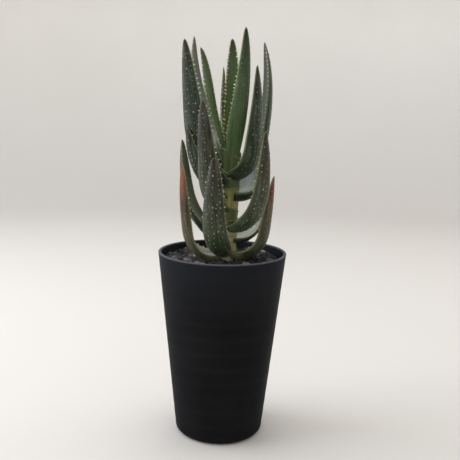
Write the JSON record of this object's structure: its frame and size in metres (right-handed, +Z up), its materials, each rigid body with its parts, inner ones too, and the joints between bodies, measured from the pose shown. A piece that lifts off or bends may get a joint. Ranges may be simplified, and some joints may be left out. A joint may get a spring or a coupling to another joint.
{
  "type": "potted kokerboom tree",
  "caption": "Young rosetted tree succulent with white-toothed, spotted leaves on one stem, in a slim tapered black nursery pot dressed with gravel.",
  "frame": {"origin": "centre of the pot's underside, on the plane that it stands on", "axes": "+Z up along the pot's axis; +Y away from the side that the picture shows; +X to its right"},
  "size_m": [0.09, 0.09, 0.282],
  "materials": {
    "pot_plastic": "moulded black polypropylene, satin, with faint rings round the wall",
    "mix": "loose dark potting mix, rough and fibrous",
    "lava_gravel": "crushed dark lava stone, rough",
    "stem": "olive stem wrapped in smooth leaf sheaths with thin pale rims",
    "leaf_aged": "ageing succulent leaf, olive with an orange-brown upper part, waxy",
    "leaf_grey": "glaucous grey-green succulent leaf with rows of small white tubercles, waxy sheen",
    "leaf_green": "young green succulent leaf, smooth inner face, pale teeth along its edges"
  },
  "bodies": {
    "root": {"pot": "pot_plastic", "potting_mix": "mix", "gravel": "lava_gravel", "stem": "stem", "leaf_01": "leaf_aged", "leaf_02": "leaf_aged", "leaf_03": "leaf_grey", "leaf_04": "leaf_grey", "leaf_05": "leaf_grey", "leaf_06": "leaf_grey", "leaf_07": "leaf_grey", "leaf_08": "leaf_grey", "leaf_09": "leaf_grey", "leaf_10": "leaf_grey", "leaf_11": "leaf_grey", "leaf_12": "leaf_grey", "leaf_13": "leaf_grey", "leaf_14": "leaf_grey", "leaf_15": "leaf_green", "leaf_16": "leaf_green", "leaf_17": "leaf_green", "leaf_18": "leaf_green"}
  },
  "joints": []
}
